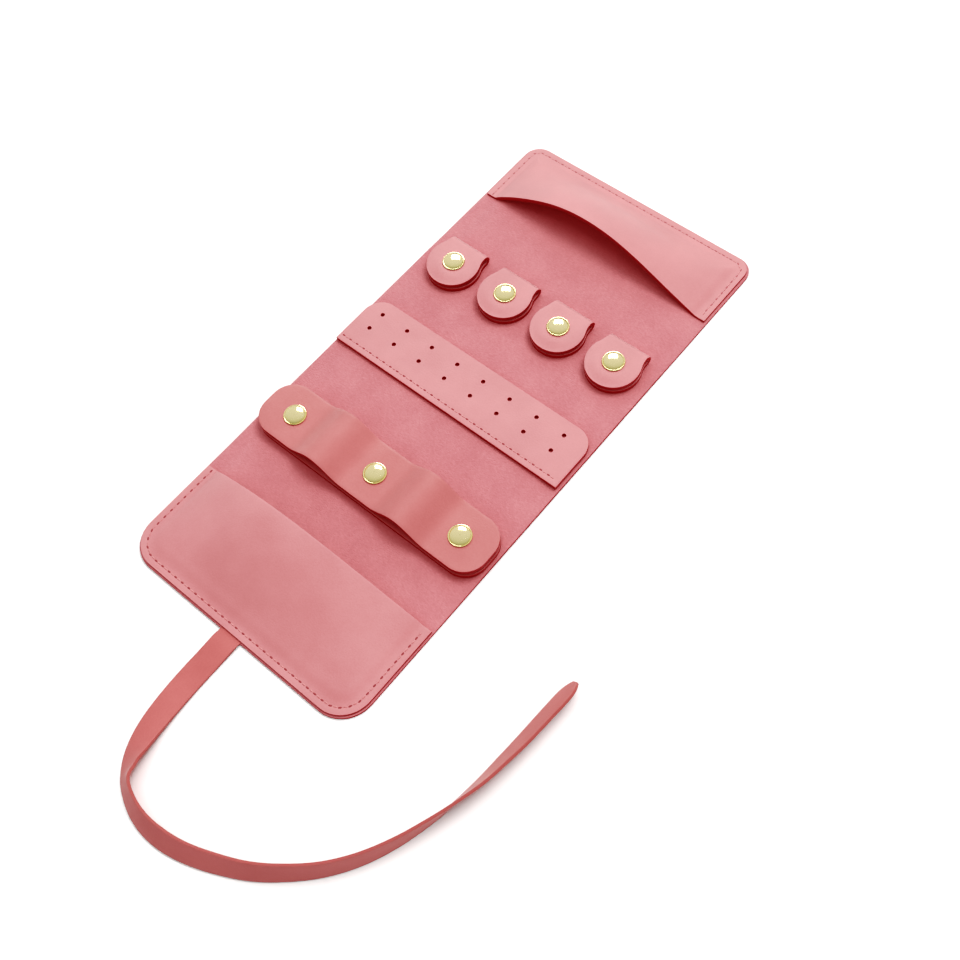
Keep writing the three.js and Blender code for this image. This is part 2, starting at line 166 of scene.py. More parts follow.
class RollColours(bpy.types.PropertyGroup):
    """Colours of the finishes."""

    face: colour("Leather face", "Smooth face of the sewn pieces", "#C9898A")
    face_shade: colour("Leather face, shaded", "Cloudy patches in the smooth face", "#C08182")
    bar: colour("Ring bar face", "Smooth face of the ring bar", "#C07E7D")
    bar_shade: colour("Ring bar face, shaded", "Cloudy patches in the ring bar", "#B77675")
    nap: colour("Nap", "Suede of the sheet", "#C9888A")
    nap_shade: colour("Nap, brushed back", "Suede fibres that lie the other way", "#BB7C7F")
    strap: colour("Strap face", "Smooth face of the tie strap", "#C07C7A")
    strap_shade: colour("Strap face, shaded", "Cloudy patches in the strap", "#B67472")
    # Painted shade: the strap's edge is a darker tone, matched to the shaded look of the strap's outer face.
    strap_edge: colour("Strap edge", "Burnished edge of the tie strap", "#AA6966")
    # Painted shade: the dark in the needle holes, fainter on the upper pocket.
    painted_hole_shade: colour("Needle hole", "Leather that a needle has pressed in", "#955B5D")
    faint_painted_hole_shade: colour("Faint needle hole", "Leather that a needle has pressed in lightly", "#B27678")
    cut: colour("Cut edge", "Fibres of a cut edge", "#963C40")
    thread: colour("Thread", "Sewing thread", "#CB8C8B")
    brass: colour("Brass", "Polished brass of the caps", "#C8B684")
    steel: colour("Steel", "Nickel plating of sockets and studs", "#C9CACC")
    floor: colour("Floor", "Paper sweep under the roll", "#F9F9F8")


def node(tree, kind, settings, inputs):
    """Adds a node, sets its settings, and fills its inputs with values or with links from other sockets."""
    made = tree.nodes.new(kind)
    for key, value in settings.items():
        setattr(made, key, value)
    for key, value in inputs.items():
        if isinstance(value, bpy.types.NodeSocket):
            tree.links.new(value, made.inputs[key])
        else:
            made.inputs[key].default_value = value
    return made.outputs


def rgba(value):
    return (*value, 1.0)


def material(name, make):
    """The material of that name. On its first use make gives the inputs of its principled shader."""
    made = bpy.data.materials.get(name)
    if made:
        return made
    made = bpy.data.materials.new(name)
    made.use_nodes = True
    tree = made.node_tree
    tree.nodes.clear()
    place = node(tree, "ShaderNodeTexCoord", {}, {})["Object"]
    inputs = make(tree, place, bpy.context.scene.roll_colours)
    shader = node(tree, "ShaderNodeBsdfPrincipled", {}, inputs)
    node(tree, "ShaderNodeOutputMaterial", {}, {"Surface": shader["BSDF"]})
    return made


def finish(name):
    """Turns a function that gives a principled shader's inputs into one that gives the material."""
    return lambda make: lambda: material(name, make)


def grain(tree, place, size, **settings):
    """A noise whose marks are that many millimetres apart."""
    inputs = {"Vector": place, "Scale": 1 / (size * MM), **settings}
    return node(tree, "ShaderNodeTexNoise", {}, inputs)["Fac"]


def ranged(tree, value, start, end, low, high):
    """A value that goes from low to high as another goes from start to end."""
    inputs = {"Value": value, "From Min": start, "From Max": end, "To Min": low, "To Max": high}
    return node(tree, "ShaderNodeMapRange", {}, inputs)["Result"]


def overlaid(tree, first, second):
    """Two shades, one over the other, held at full."""
    settings = {"operation": "ADD", "use_clamp": True}
    return node(tree, "ShaderNodeMath", settings, {0: first, 1: second})["Value"]


def layered(tree, coarse, weight, fine):
    """A coarse relief of that weight, with a fine one on it."""
    settings = {"operation": "MULTIPLY_ADD"}
    return node(tree, "ShaderNodeMath", settings, {0: coarse, 1: weight, 2: fine})["Value"]


def mixed(tree, factor, first, second):
    """One colour turning into another as the factor grows."""
    inputs = {"Factor": factor, "A": rgba(first), "B": rgba(second)}
    return node(tree, "ShaderNodeMix", {"data_type": "RGBA"}, inputs)["Result"]


def bumped(tree, height, strength, deep):
    """Fine relief, at most that many millimetres deep."""
    inputs = {"Height": height, "Strength": strength, "Distance": deep * MM}
    return node(tree, "ShaderNodeBump", {}, inputs)["Normal"]


def smooth_leather(name="buffed_pink_leather", tones=("face", "face_shade"), gloss=1.0):
    """Drum-dyed microfibre leather with a buffed face: soft and chalky, in cloudy patches with fine pores."""

    def make(tree, place, colours):
        cloud = grain(tree, place, 17, Detail=3.0, Roughness=0.55)
        # Pores are about 0.1 mm, and are drawn at 0.55 mm so that they show.
        pore = grain(tree, place, 0.55, Detail=2.0, Roughness=0.6)
        crease = grain(tree, place, 4.5, Detail=4.0, Roughness=0.65)
        patch = ranged(tree, cloud, 0.32, 0.7, 0.0, 0.75)
        fleck = ranged(tree, pore, 0.35, 0.68, 0.0, 0.3)
        shade = overlaid(tree, patch, fleck)
        relief = layered(tree, crease, 0.8, pore)
        return {
            "Base Color": mixed(tree, shade, *(getattr(colours, tone) for tone in tones)),
            "Roughness": ranged(tree, crease, 0.0, 1.0, 0.5, 0.66),
            "Normal": bumped(tree, relief, 0.35, 0.12),
            "Specular IOR Level": 0.55 * gloss, "Sheen Weight": 0.3 * gloss, "Sheen Roughness": 0.5,
        }

    return material(name, make)


@finish("brushed_pink_suede")
def suede(tree, place, colours):
    """Brushed suede: fibres lie this way and that, so the pink breaks into darker and paler strokes."""
    along = {"Vector": place, "Rotation": (0, 0, 0.9), "Scale": (1.0, 2.2, 1.0)}
    brushed = node(tree, "ShaderNodeMapping", {}, along)["Vector"]
    # Fibres are about 0.05 mm across, and are drawn as tufts of about a millimetre so that they show.
    tuft = grain(tree, brushed, 1.1, Detail=4.0, Roughness=0.62, Distortion=0.6)
    hand = grain(tree, place, 13, Detail=3.0, Roughness=0.6)
    fine = grain(tree, place, 0.4, Detail=1.0)
    strokes = ranged(tree, tuft, 0.33, 0.68, 0.0, 0.7)
    patches = ranged(tree, hand, 0.35, 0.7, 0.0, 0.5)
    shade = overlaid(tree, strokes, patches)
    pile = layered(tree, tuft, 1.2, fine)
    return {
        "Base Color": mixed(tree, shade, colours.nap, colours.nap_shade), "Roughness": 0.95,
        "Normal": bumped(tree, pile, 0.5, 0.2), "Specular IOR Level": 0.4,
        "Sheen Weight": 0.6, "Sheen Roughness": 0.5,
    }


@finish("cut_pink_leather_edge")
def cut_leather(tree, place, colours):
    """Raw knife-cut edge: the darker, fibrous middle of the leather, in thin layers."""
    layers = {"Vector": place, "Scale": (1.0, 1.0, 3.0)}
    flat = node(tree, "ShaderNodeMapping", {}, layers)["Vector"]
    fibre = grain(tree, flat, 0.7, Detail=3.0)
    worn = ranged(tree, fibre, 0.4, 0.75, 0.0, 0.15)
    return {
        "Base Color": mixed(tree, worn, colours.cut, colours.nap_shade), "Roughness": 0.8,
        "Normal": bumped(tree, fibre, 0.5, 0.12), "Specular IOR Level": 0.2,
    }


@finish("bonded_polyester_thread")
def sewing_thread(tree, place, colours):
    """Bonded polyester thread, twisted: a soft shine broken by its plies."""
    ply = grain(tree, place, 0.35, Detail=1.0)
    return {
        "Base Color": mixed(tree, ply, colours.thread, colours.face_shade), "Roughness": 0.55,
        "Normal": bumped(tree, ply, 0.4, 0.1), "Sheen Weight": 0.2,
    }


@finish("polished_brass")
def polished_brass(tree, place, colours):
    """Stamped and polished brass under clear lacquer: pale gold, mirror-like, with faint polishing haze."""
    haze = grain(tree, place, 1.6, Detail=4.0)
    dent = grain(tree, place, 2.6, Detail=1.0)
    return {
        "Base Color": rgba(colours.brass), "Metallic": 1.0,
        "Roughness": ranged(tree, haze, 0.0, 1.0, 0.12, 0.22), "Normal": bumped(tree, dent, 0.12, 0.15),
    }


@finish("nickel_plated_steel")
def plated_steel(tree, place, colours):
    """Nickel-plated pressed steel: cool grey, satin from barrel plating."""
    haze = grain(tree, place, 0.8, Detail=3.0)
    rough = ranged(tree, haze, 0.0, 1.0, 0.22, 0.42)
    return {"Base Color": rgba(colours.steel), "Metallic": 1.0, "Roughness": rough}


@finish("white_paper")
def paper(tree, place, colours):
    """White paper sweep: matt and even."""
    return {"Base Color": rgba(colours.floor), "Roughness": 0.95, "Specular IOR Level": 0.1}


def deselect():
    if bpy.context.mode != "OBJECT":
        bpy.ops.object.mode_set(mode="OBJECT")
    bpy.ops.object.select_all(action="DESELECT")


def take(piece):
    """Selects one piece alone and makes it active."""
    deselect()
    piece.select_set(True)
    bpy.context.view_layer.objects.active = piece


def rename(piece, name):
    piece.name = name
    piece.data.name = name


def apply(piece, kind, **settings):
    """Adds a modifier with these settings and applies it."""
    take(piece)
    modifier = piece.modifiers.new(kind.title(), kind)
    for key, value in settings.items():
        setattr(modifier, key, value)
    bpy.ops.object.modifier_apply(modifier=modifier.name)


def unmark(mesh):
    """Leaves no vertex, edge or face of a mesh selected."""
    for elements in (mesh.vertices, mesh.edges, mesh.polygons):
        elements.foreach_set("select", [False] * len(elements))


def joined(pieces):
    """Makes one piece of several."""
    deselect()
    for piece in pieces:
        piece.select_set(True)
    bpy.context.view_layer.objects.active = pieces[0]
    bpy.ops.object.join()
    return bpy.context.object


def round_edges(piece, radius, is_cut):
    """Rounds the sharp edges whose middle, in millimetres, is on a cut and not on a join."""
    mesh = piece.data
    take(piece)
    normals = {}
    for face in mesh.polygons:
        for key in face.edge_keys:
            normals.setdefault(key, []).append(face.normal)
    unmark(mesh)
    for edge in mesh.edges:
        sides = normals.get(tuple(sorted(edge.vertices)), [])
        middle = (mesh.vertices[edge.vertices[0]].co + mesh.vertices[edge.vertices[1]].co) / 2 / MM
        edge.select = len(sides) == 2 and sides[0].dot(sides[1]) < 0.5 and is_cut(middle)
    bpy.ops.object.mode_set(mode="EDIT")
    bpy.ops.mesh.select_mode(type="EDGE")
    bpy.ops.mesh.bevel(offset=radius, segments=2, affect="EDGES", clamp_overlap=True)
    bpy.ops.object.mode_set(mode="OBJECT")


def smooth(piece, degrees=40):
    take(piece)
    bpy.ops.object.shade_smooth_by_angle(angle=math.radians(degrees))


def skived(from_edge, start, end):
    """How far the outer rim is pared down: 1 from the cut edge to the start of the slope, 0 past its end."""
    return 1 - smoothstep(from_edge, start, end)


def leather_panel(
    name, columns, rows, place, face, thick,
    offset=1.0, is_cut=lambda p: True, pared=None, edge=None, least=0.0,
):
    """A panel from a grid: each point is placed in millimetres, then it gets its thickness and worn edges."""
    deselect()
    bpy.ops.mesh.primitive_grid_add(x_subdivisions=columns, y_subdivisions=rows, size=2)
    piece = bpy.context.object
    rename(piece, name)
    for vertex in piece.data.vertices:
        vertex.co = Vector(place((vertex.co.x + 1) / 2, (vertex.co.y + 1) / 2)) * MM
    piece.data.materials.append(face)
    piece.data.materials.append(edge or cut_leather())
    full = piece.vertex_groups.new(name="full_thickness")
    for vertex in piece.data.vertices:
        full.add([vertex.index], 1 - pared(*(vertex.co.xy / MM)) if pared else 1.0, "REPLACE")
    apply(
        piece, "SOLIDIFY", thickness=thick, offset=offset, use_even_offset=True, material_offset_rim=1,
        vertex_group=full.name, thickness_vertex_group=least,
    )
    round_edges(piece, bpy.context.scene.roll_sizes.edge_round, is_cut)
    smooth(piece)
    return piece


def punch(piece, holes):
    """Cuts round holes: x, y, radius, lowest and highest point, in millimetres."""
    cutters = []
    for x, y, radius, low, high in holes:
        middle = Vector((x, y, (low + high) / 2)) * MM
        bpy.ops.mesh.primitive_cylinder_add(
            vertices=20, radius=radius * MM, depth=(high - low) * MM, location=middle
        )
        bpy.context.object.data.materials.append(cut_leather())
        cutters.append(bpy.context.object)
    cutter = joined(cutters)
    bpy.ops.object.transform_apply(location=True, rotation=True, scale=True)
    apply(piece, "BOOLEAN", object=cutter, operation="DIFFERENCE", solver="EXACT", material_mode="TRANSFER")
    bpy.data.objects.remove(cutter)
    smooth(piece)


def eased(share, margin, whole, part):
    """A place from 0 to whole, with the first and last margin given that part of the steps each."""
    if share < part:
        return margin * share / part
    if share > 1 - part:
        return whole - margin * (1 - share) / part
    return margin + (whole - 2 * margin) * (share - part) / (1 - 2 * part)


def corner_cut(reach, radius):
    """How much a rounded corner takes off the side, at that distance from the end."""
    return radius - math.sqrt(radius ** 2 - max(0.0, radius - reach) ** 2)


def from_rim(from_side, from_end, corner):
    """Distance from a cut edge with a rounded corner, from the distances to its side and its end."""
    if max(from_side, from_end) < corner:
        return corner - math.hypot(corner - from_side, corner - from_end)
    return min(from_side, from_end)


def groove(from_seam, deep):
    """How far the thread draws the leather down, at that distance from the seam."""
    return deep * math.exp(-(from_seam / 0.6) ** 2)


def unevenness(x, y, size):
    """Slight waviness of leather, in millimetres."""
    return size * noise.noise(Vector((x / 23, y / 23, 4.7)))


def smoothstep(value, low, high):
    share = min(1.0, max(0.0, (value - low) / (high - low)))
    return share * share * (3 - 2 * share)


def body_of(node_name):
    return frame["nodes"][node_name]["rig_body"]


def stand_in(piece, node_name):
    """Puts a piece in the place of one solid."""
    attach(piece, body_of(node_name))
    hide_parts(node_name)


def run_along(points):
    """Distance along a line to each of its points."""
    run = [0.0]
    for p, q in zip(points, points[1:]):
        run.append(run[-1] + (q - p).length)
    return run


class ROLL_OT_stage(bpy.types.Operator):
    """Adds the camera, the paper sweep and the studio light"""

    bl_idname = "roll.make_stage"
    bl_label = "Stage"

    def execute(self, context):
        scene = context.scene
        deselect()
        # The camera is fitted to the sheet's corners in the photograph.
        right = Vector((0.76404, 0.64018, -0.08015))
        up = Vector((-0.53851, 0.7012, 0.46726))
        ahead = Vector((-0.35533, 0.31384, -0.88048))
        eye = Vector((158.37, -134.1, 330.07)) * MM
        turn = Matrix((right, up, -ahead)).transposed()
        bpy.ops.object.camera_add()
        camera = context.object
        camera.name = "camera"
        camera.matrix_world = Matrix.Translation(eye) @ turn.to_4x4()
        camera.data.lens = 44.85
        camera.data.sensor_width = 36
        camera.data.clip_start = 0.01
        camera.data.clip_end = 20
        scene.camera = camera

        # The paper lies just under the roll and sweeps up far behind it.
        bpy.ops.mesh.primitive_grid_add(x_subdivisions=24, y_subdivisions=24, size=4)
        floor = context.object
        rename(floor, "paper_sweep")
        for vertex in floor.data.vertices:
            beyond = max(0.0, vertex.co.y - 1.1)
            vertex.co.z = -0.2 * MM + beyond ** 2 * 0.9
        floor.data.materials.append(paper())
        bpy.ops.object.shade_smooth()

        # The key light casts the soft shadows, the window shows only in gloss, the softbox fills from above.
        lamps = [
            ("key", 7.1, 0.5, (0.2, 0.45, 1.12), True, False),
            ("window", 20.0, 0.85, (-1.0, 1.37, 1.37), False, True),
            ("softbox", 6.9, 1.0, (0.0, 0.12, 1.28), True, False),
        ]
        for name, power, size, place, diffuse, glossy in lamps:
            bpy.ops.object.light_add(type="AREA", location=place)
            lamp = context.object
            lamp.name = name
            lamp.data.energy = power
            lamp.data.size = size
            lamp.rotation_euler = (-Vector(place)).to_track_quat("-Z", "Y").to_euler()
            lamp.visible_diffuse = diffuse
            lamp.visible_glossy = glossy
        world = bpy.data.worlds.new("studio")
        world.use_nodes = True
        tree = world.node_tree
        tree.nodes.clear()
        # White walls, brightest behind the roll and near the floor, dim overhead and towards the camera.
        towards = node(tree, "ShaderNodeTexCoord", {}, {})["Generated"]
        behind = node(
            tree, "ShaderNodeVectorMath", {"operation": "DOT_PRODUCT"}, {0: towards, 1: (-0.57, 0.77, 0.29)}
        )
        wall = node(
            tree, "ShaderNodeMapRange", {"interpolation_type": "SMOOTHSTEP"},
            {"Value": behind["Value"], "From Min": -0.5, "From Max": 0.95, "To Min": 0.39, "To Max": 0.76},
        )
        light = node(tree, "ShaderNodeBackground", {}, {"Color": (1, 1, 1, 1), "Strength": wall["Result"]})
        node(tree, "ShaderNodeOutputWorld", {}, {"Surface": light["Background"]})
        scene.world = world
        # Contrast as in a product picture: in shade, red holds and green and blue fall off faster.
        view = scene.view_settings
        view.view_transform = "Standard"
        view.use_curve_mapping = True
        for channel, fall in enumerate((-0.2, 0.85, 0.85)):
            for shade in (0.02, 0.05, 0.1, 0.18, 0.28, 0.38, 0.46, 0.58, 0.78):
                view.curve_mapping.curves[channel].points.new(shade, shade * min(1.0, shade / 0.38) ** fall)
        view.curve_mapping.update()
        return {"FINISHED"}


# Route of the tie strap's lower edge on the table: x, y from the strap end, and the lean in degrees.
STRAP_ROUTE = [
    (-4.2, 7.5, 0), (-4.2, 0, 0), (-4.2, -8.1, 0), (-4.1, -16.6, 0), (-3.6, -25.2, 3), (-2.4, -33.7, 11),
    (0, -41.3, 25), (3.8, -47.4, 44), (8.9, -51.9, 60), (14.9, -54.8, 58), (21.5, -56.2, 56), (29, -56, 55),
    (37.2, -54, 58), (46.1, -50.3, 61), (55, -45.3, 66), (62.8, -39, 71), (69.7, -31.8, 76),
    (75.3, -23.5, 81), (79.5, -14.2, 87), (82.5, -4, 95), (84.2, 5.8, 106), (85.2, 14.2, 115),
    (85.7, 21.7, 120), (86.2, 29.5, 124), (86.6, 38.3, 126), (87, 45.4, 127), (87.4, 51.9, 126),
]


def through(marks, steps):
    """Points on the centripetal spline through the marks."""
    ends = [2 * marks[0] - marks[1], *marks, 2 * marks[-1] - marks[-2]]
    line = []
    for k in range(1, len(ends) - 2):
        a, b, c, d = ends[k - 1:k + 3]
        before, here, after = ((q - p).length ** 0.5 for p, q in ((a, b), (b, c), (c, d)))
        start = ((b - a) / before - (c - a) / (before + here) + (c - b) / here) * here
        end = ((c - b) / here - (d - b) / (here + after) + (d - c) / after) * here
        for step in range(steps):
            t = step / steps
            bend = -3 * b + 3 * c - 2 * start - end
            line.append(b + start * t + bend * t * t + (2 * b - 2 * c + start + end) * t ** 3)
    return [*line, marks[-1]]


class ROLL_OT_tie_strap(bpy.types.Operator):
    """Lays the tie strap along its route, its sewn-in tongue pared thin"""

    bl_idname = "roll.make_tie_strap"
    bl_label = "Tie strap"

    def execute(self, context):
        sizes = context.scene.roll_sizes
        thick = sizes.strap_thick / MM
        wide = sizes.strap_width / MM
        strap_end = span("sheet_strap_end")[0].y
        # The tongue's height between the pared rims, the rounded tip's length, and the run to where it lies.
        root, tip, lies_from = 0.7 * sizes.leather / MM, 6.0, 29.5
        marks = [Vector((x, strap_end + y, lean)) for x, y, lean in STRAP_ROUTE]
        line = through(marks, 6)
        ground = [Vector((p.x, p.y)) for p in line]
        run = run_along(ground)
        last = len(line) - 1
        rows = []
        for k, point in enumerate(line):
            ahead = (ground[min(k + 1, last)] - ground[max(k - 1, 0)]).normalized()
            lean = math.radians(point.z)
            across = Vector((-ahead.y * math.cos(lean), ahead.x * math.cos(lean), math.sin(lean)))
            rest = abs(math.cos(lean)) * thick / 2
            settled = smoothstep(strap_end - point.y, 0, 11)
            height = rest + (root - rest) * (1 - settled) if run[k] < lies_from else rest
            to_tip = (run[-1] - run[k]) / tip
            share = max(0.3, math.sqrt(1 - (1 - to_tip) ** 2)) if to_tip < 1 else 1.0
            middle = Vector((point.x, point.y, height)) + across * (wide / 2)
            rows.append((middle, across * (share * wide / 2)))

        def place(u, v):
            middle, side = rows[round(v * last)]
            return middle + side * (2 * u - 1)

        def pared(x, y):
            return 0.0 if x > 5 else skived(strap_end - y, 0.2, 3.2)

        # The strap's edge takes a darker tone: painted shade, matched to the strap's shaded outer face.
        piece = leather_panel(
            "tie_strap_leather", 8, last, place,
            smooth_leather("matt_pink_strap_leather", ("strap", "strap_shade"), 0.35), sizes.strap_thick,
            offset=0.0, is_cut=lambda p: p.y < strap_end - 1 or p.x > 5, pared=pared,
            edge=smooth_leather("pink_strap_edge_painted_shade", ("strap_edge", "strap_edge"), 0.35), least=0.1,
        )
        stand_in(piece, "tie_strap")
        return {"FINISHED"}


def sheet_rows(y0, y1, low_corner, high_corner, fold):
    """Rows across a stretch of the sheet: close together round its corners and on each side of its fold line.
    """
    turn = [1 - math.cos(math.pi / 2 * k / 9) for k in range(10)]
    rows = [y0 + low_corner * t for t in turn] if low_corner else [y0]
    ending = [y1 - high_corner * t for t in reversed(turn)] if high_corner else [y1]
    # Rows are close together this far to each side of the fold, and farther apart elsewhere.
    reach, close, apart = 2.4, 0.3, 1.6
    for place, gap in ((fold - reach, apart), (fold + reach, close), (ending[0], apart)):
        start = rows[-1]
        count = max(1, round((place - start) / gap))
        rows += [start + (place - start) * k / count for k in range(1, count + 1)]
    return rows + ending[1:]


def sheet_stretch(k, name, y0, y1):
    """Cuts one of the sheet's four stretches, each with a fold in it."""
    sizes = bpy.context.scene.roll_sizes
    half = span("sheet_rings")[1].x
    solids = [f"sheet_{stretch}" for stretch in ("strap_end", "rings", "earrings", "chains", "top_end")]
    fold = [joint for joint in frame["joints"] if joint["name"].startswith("fold_")][k]
    corner = {0: sizes.strap_end_corner, 3: sizes.top_end_corner}.get(k, 0.0) / MM
    at = fold["pos_m"][1] / MM
    rows = sheet_rows(y0, y1, corner if k == 0 else 0.0, corner if k == 3 else 0.0, at)

    def from_end(y):
        """Distance from the sheet's own end, if the stretch has one."""
        return {0: y - y0, 3: y1 - y}.get(k, math.inf)

    def place(u, v):
        y = rows[round(v * (len(rows) - 1))]
        wide = half - corner_cut(max(0.0, from_end(y)), corner)
        return (eased(u, 9, 2 * wide, 0.3) - wide, y, 0.0)

    def pared(x, y):
        """The rim is thinner, and most so towards the sheet's two ends."""
        from_edge = from_rim(half - abs(x), from_end(y), corner)
        return (0.2 + 0.2 * smoothstep(abs(y), 40, 60)) * skived(from_edge, 3.5, 9.0)

    def is_cut(p):
        return (k == 0 or p.y > y0 + 0.02) and (k == 3 or p.y < y1 - 0.02)

    piece = leather_panel(
        f"sheet_{name}_suede", 24, len(rows) - 1, place, suede(), sizes.leather,
        pared=pared, is_cut=is_cut,
    )
    if k == 2:
        # Each chain snap's stud comes through, with its flange let in from below.
        studs = [centre_of(f"chain_snap_{i}_stud") for i in (1, 2, 3, 4)]
        for radius, top in ((3.9, 0.6), (1.5, 3)):
            punch(piece, [(x, y, radius, -1, top) for x, y in studs])
    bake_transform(piece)
    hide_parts(*solids[k:k + 2])


class ROLL_OT_sheet(bpy.types.Operator):
    """Cuts the long suede sheet in four stretches, each round one of its fold lines"""

    bl_idname = "roll.make_sheet"
    bl_label = "Sheet"

    def execute(self, context):
        low, high = span("sheet_strap_end")[0].y, span("sheet_top_end")[1].y
        strip = (span("earring_hem")[0].y + span("earring_flap")[1].y) / 2
        # The stretches meet under the ring bar, the earring strip and the chain tabs.
        joins = [low, centre_of("ring_bar_base")[1], strip, span("chain_tab_1_base")[0].y + 22, high]
        for k, name in enumerate(("strap_end", "rings", "earrings", "top_end")):
            sheet_stretch(k, name, joins[k], joins[k + 1])
        return {"FINISHED"}


def along_from_corner(share, corner, whole, part):
    """Distance from a rounded end, with that part of the steps crowded round its corner."""
    if not corner:
        return whole * share
    if share < part:
        return corner * (1 - math.cos(math.pi / 2 * share / part))
    return corner + (whole - corner) * (share - part) / (1 - part)


def rounded_run(wide, corner, depth, inset):
    """Points on a seam round three sides of a pocket: x, and the distance from its sewn end."""
    side, bend = wide - inset, max(corner - inset, 0.5)
    line = [(-side, depth), (-side, corner)]
    for k in range(13):
        turn = math.pi / 2 * k / 12
        line.append((-(wide - corner) - bend * math.cos(turn), corner - bend * math.sin(turn)))
    return line + [(-x, s) for x, s in reversed(line)]


def paced(line, pitch):
    """Points a pitch apart along a line, with its ends kept."""
    points = [Vector((*p, 0)) for p in line]
    run = run_along(points)
    count = max(1, round(run[-1] / pitch))
    spread, k = [], 0
    for step in range(count + 1):
        at = run[-1] * step / count
        while k < len(points) - 2 and run[k + 1] < at:
            k += 1
        gap = run[k + 1] - run[k]
        spread.append(points[k].lerp(points[k + 1], (at - run[k]) / gap if gap else 0.0))
    return spread


# Depth of the pockets, how far a seam draws their rim down, and the share of thickness that the rim loses.
POCKET_DEPTH = {"lower_pocket": 36.5, "upper_pocket": 29.0}
RIM_SINK = 0.62
RIM_PARED = 0.42


def pocket_plan(name):
    """A pocket's sewn end, direction from there, half width, corner, depth and inset, in millimetres."""
    scene = bpy.context.scene
    sizes = scene.roll_sizes
    inset = getattr(scene, name).inset / MM
    if name == "lower_pocket":
        end, towards, corner = span("sheet_strap_end")[0].y, 1, sizes.strap_end_corner / MM
    else:
        end, towards, corner = span("sheet_top_end")[1].y, -1, sizes.top_end_corner / MM
    return end, towards, span("sheet_rings")[1].x - inset, corner - inset, POCKET_DEPTH[name], inset


def seam_holes(kind):
    """Needle holes along a seam, in millimetres."""
    scene = bpy.context.scene
    sizes = scene.roll_sizes
    pitch, inset = sizes.stitch_pitch / MM, sizes.stitch_inset / MM
    if kind in POCKET_DEPTH:
        end, towards, wide, corner, depth, gap = pocket_plan(kind)
        shape = getattr(scene, kind)
        line = paced(rounded_run(wide, corner, depth - 1.2, shape.stitch_inset / MM), pitch)
        for p in line:
            along = p.y * (1 + shape.slant / MM / depth * (p.x + wide) / (2 * wide))
            p.y = end + towards * (gap + along * (1 - gap / depth))
        return line
    if kind == "earring_hem":
        low, high = span(kind)
        y = low.y + inset - 0.2
        return paced([(low.x + 1.5, y), (high.x - 1.5, y)], pitch)
    low, high = span("ring_bar_base")
    corner, inset = sizes.bar_corner / MM, inset - 0.5
    bend, line = corner - inset, []
    for cx, cy, first in (
        (high.x - corner, low.y + corner, -90), (high.x - corner, high.y - corner, 0),
        (low.x + corner, high.y - corner, 90), (low.x + corner, low.y + corner, 180),
    ):
        for k in range(9):
            turn = math.radians(first + 90 * k / 8)
            line.append((cx + bend * math.cos(turn), cy + bend * math.sin(turn)))
    return paced([*line, line[0]], pitch)


def pocket_front(name):
    """Sews on one pocket front."""
    sizes = bpy.context.scene.roll_sizes
    shape = getattr(bpy.context.scene, name)
    end, towards, wide, corner, depth, inset = pocket_plan(name)
    gape, bow, slant = shape.gape / MM, shape.bow / MM, shape.slant / MM
    inner = wide - sizes.seam / MM
    # The front is flat over a margin at its sewn end, then rolls up softly over the spread.
    margin, spread = 2.6, 0.28 * depth
    skew = math.log(0.5) / math.log(shape.crest)
    low = span(name)[0].z
    stitch = shape.stitch_inset / MM
    fullness = shape.fullness

    def swell(x):
        """Share of the lift across the mouth: none at the seams, all of it at the crest."""
        share = (x + inner) / (2 * inner)
        if share <= 0 or share >= 1:
            return 0.0
        return math.sin(math.pi * share ** skew) ** fullness

    def place(u, v):
        s = along_from_corner(v, corner, depth, 0.3)
        reach = wide - corner_cut(s, corner)
        x = towards * (eased(u, 7, 2 * reach, 0.14) - reach)
        lift = swell(x)
        roll = min(max(0.0, s - margin), spread)
        climb = roll ** 2 / (2 * spread) + max(0.0, s - margin - spread)
        rise = math.sin(math.pi / 2 * climb / (depth - margin - spread / 2))
        along = s + bow * lift * (s / depth) ** 2 + slant * s / depth * (x + wide) / (2 * wide)
        y = end + towards * (inset + along * (1 - inset / depth))
        from_edge = from_rim(wide - abs(x), s, corner)
        sunk = groove(from_edge - stitch, 0.06) + RIM_SINK * skived(from_edge, 3.0, 13.0)
        wavy = unevenness(x, s, 0.35) * rise * min(1.0, lift * 3)
        return (x, y, low + gape * lift * rise - sunk + wavy)

    def pared(x, y):
        from_edge = from_rim(wide - abs(x), towards * (y - end) - inset, corner)
        return RIM_PARED * skived(from_edge, 2.5, 7.0)

    face = smooth_leather()
    piece = leather_panel(f"{name}_front", 104, 56, place, face, sizes.leather, pared=pared)
    stand_in(piece, name)


class ROLL_OT_pockets(bpy.types.Operator):
    """Sews on the two pocket fronts, their mouths standing open"""

    bl_idname = "roll.make_pockets"
    bl_label = "Pockets"

    def execute(self, context):
        for name in POCKET_DEPTH:
            pocket_front(name)
        return {"FINISHED"}


